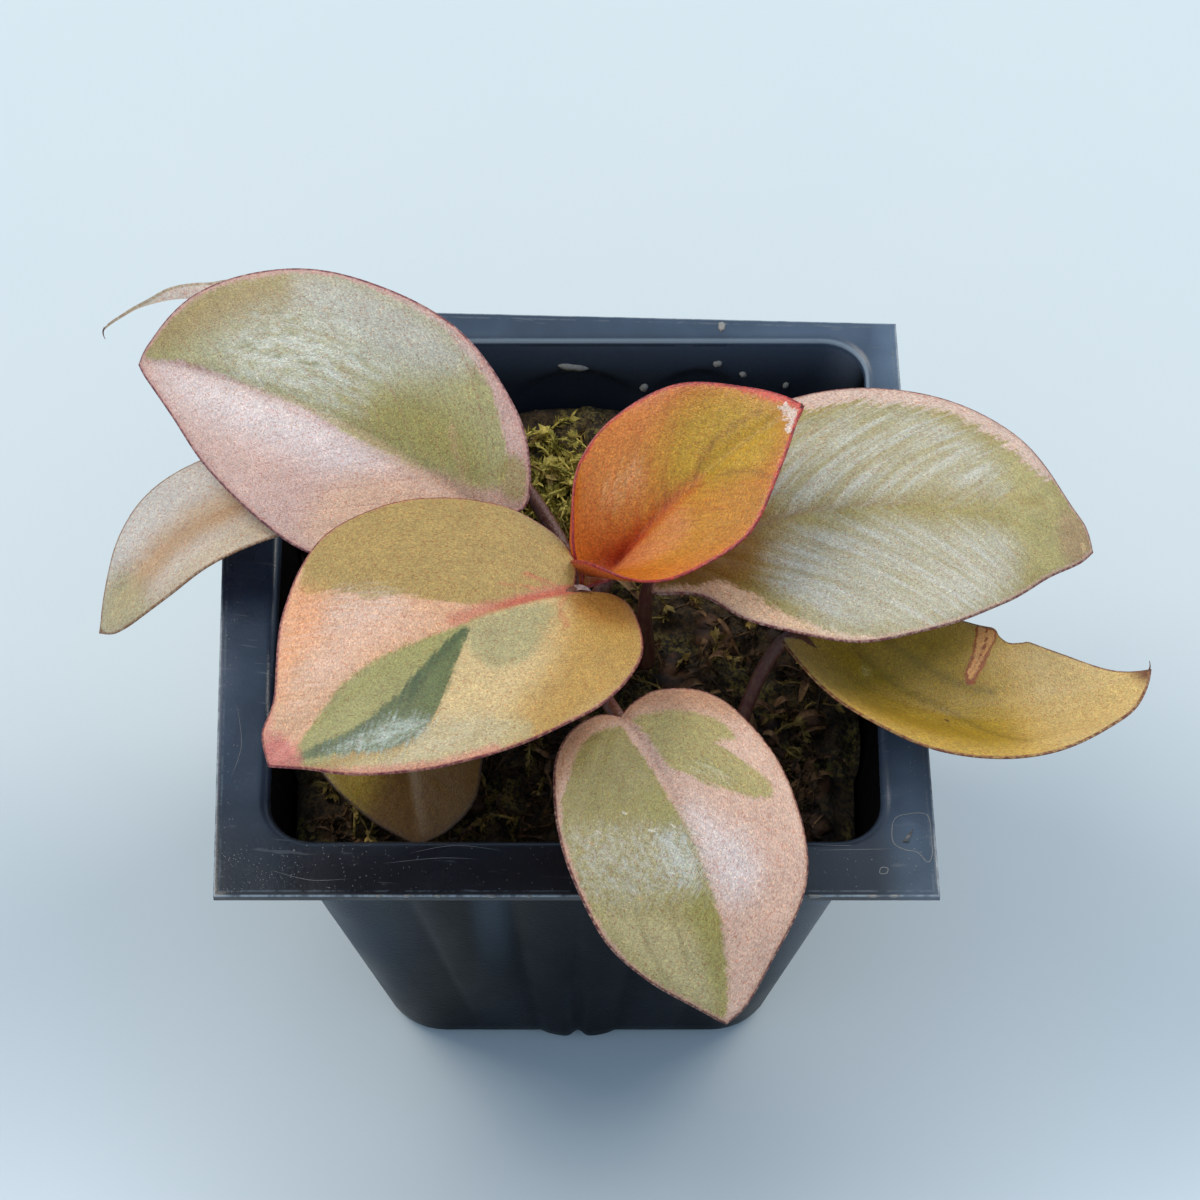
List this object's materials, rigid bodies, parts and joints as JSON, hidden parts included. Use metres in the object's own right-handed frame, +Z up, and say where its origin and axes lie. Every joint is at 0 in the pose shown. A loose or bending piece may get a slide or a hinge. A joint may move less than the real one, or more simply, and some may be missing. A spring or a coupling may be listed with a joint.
{
  "type": "potted variegated philodendron",
  "caption": "Young self-heading philodendron with broad heart-shaped leaves on short stalks, growing in moss in a thin square nursery pot with a flat rim.",
  "frame": {"origin": "middle of the flat underside of the pot", "axes": "+Z up out of the pot, -Y towards the side seen in the picture, +X to the right of that view"},
  "size_m": [0.139, 0.1114, 0.1085],
  "materials": {
    "pot_plastic": "thin black plastic with a soft sheen",
    "moss": "damp moss and bark, rough",
    "stem_tissue": "brown and purplish stem, satin",
    "leaf_variegated": "olive, sage and pink patches with a silvery satin sheen",
    "leaf_young": "glossy orange with a red margin",
    "leaf_old": "dull yellow-olive to pale beige, ageing"
  },
  "bodies": {
    "root": {"pot": "pot_plastic", "moss_bed": "moss", "stem": "stem_tissue", "leaf_upper_left": "leaf_variegated", "leaf_middle_left": "leaf_variegated", "leaf_young_orange": "leaf_young", "leaf_upper_right": "leaf_variegated", "leaf_front": "leaf_variegated", "leaf_lower_right": "leaf_old", "leaf_lower_left": "leaf_old", "leaf_back_withered": "leaf_old", "leaf_inside_pot": "leaf_old"}
  },
  "joints": []
}
